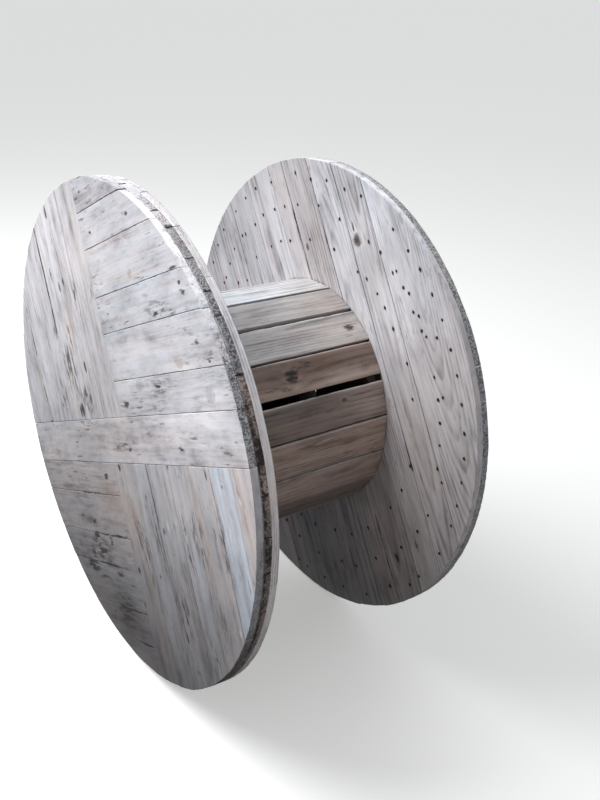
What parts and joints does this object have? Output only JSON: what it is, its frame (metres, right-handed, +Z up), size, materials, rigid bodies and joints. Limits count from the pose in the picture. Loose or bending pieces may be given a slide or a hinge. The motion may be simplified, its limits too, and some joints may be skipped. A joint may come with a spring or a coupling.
{
  "type": "wooden cable drum",
  "caption": "Weathered wooden cable drum on its rims: flanges of cross-laid boards, one faced with a pinwheel of planks, round a barrel of flat staves.",
  "frame": {"origin": "on the floor below the middle of the drum's axis, halfway between the two outer faces", "axes": "+X along the drum's axis from the faced flange to the plain flange, +Z up, Y across"},
  "size_m": [0.555, 1.1, 1.1],
  "materials": {
    "facing_wood": "weathered silver grey softwood, sawn",
    "flange_wood": "weathered pinkish grey softwood, raised grain",
    "inside_wood": "dull softwood that the weather has not reached",
    "stave_wood": "weathered grey brown softwood, sawn",
    "rusty_steel": "rusted mild steel"
  },
  "bodies": {
    "root": {"facing_centre_plank": "facing_wood", "facing_upper_right_1": "facing_wood", "facing_upper_right_2": "facing_wood", "facing_upper_right_3": "facing_wood", "facing_upper_right_4": "facing_wood", "facing_upper_right_5": "facing_wood", "facing_upper_right_6": "facing_wood", "facing_lower_left_1": "facing_wood", "facing_lower_left_2": "facing_wood", "facing_lower_left_3": "facing_wood", "facing_lower_left_4": "facing_wood", "facing_lower_left_5": "facing_wood", "facing_lower_left_6": "facing_wood", "facing_lower_right_1": "facing_wood", "facing_lower_right_2": "facing_wood", "facing_lower_right_3": "facing_wood", "facing_lower_right_4": "facing_wood", "facing_lower_right_5": "facing_wood", "facing_lower_right_6": "facing_wood", "facing_lower_right_7": "facing_wood", "facing_upper_left_1": "facing_wood", "facing_upper_left_2": "facing_wood", "facing_upper_left_3": "facing_wood", "facing_upper_left_4": "facing_wood", "facing_upper_left_5": "facing_wood", "facing_upper_left_6": "facing_wood", "facing_upper_left_7": "facing_wood", "near_middle_layer": "flange_wood", "near_inner_layer": "flange_wood", "far_inner_layer": "flange_wood", "far_outer_layer": "flange_wood", "near_barrel_disc": "inside_wood", "far_barrel_disc": "inside_wood", "stave_01": "stave_wood", "stave_02": "stave_wood", "stave_03": "stave_wood", "stave_04": "stave_wood", "stave_05": "stave_wood", "stave_06": "stave_wood", "stave_07": "stave_wood", "stave_08": "stave_wood", "stave_09": "stave_wood", "stave_10": "stave_wood", "stave_11": "stave_wood", "stave_12": "stave_wood", "stave_13": "stave_wood", "stave_14": "stave_wood", "stave_15": "stave_wood", "stave_16": "stave_wood", "stave_17": "stave_wood", "stave_18": "stave_wood", "stave_19": "stave_wood", "stave_20": "stave_wood", "tie_bolts": "rusty_steel", "bolt_nuts": "rusty_steel", "near_washers": "rusty_steel", "far_washers": "rusty_steel"}
  },
  "joints": []
}
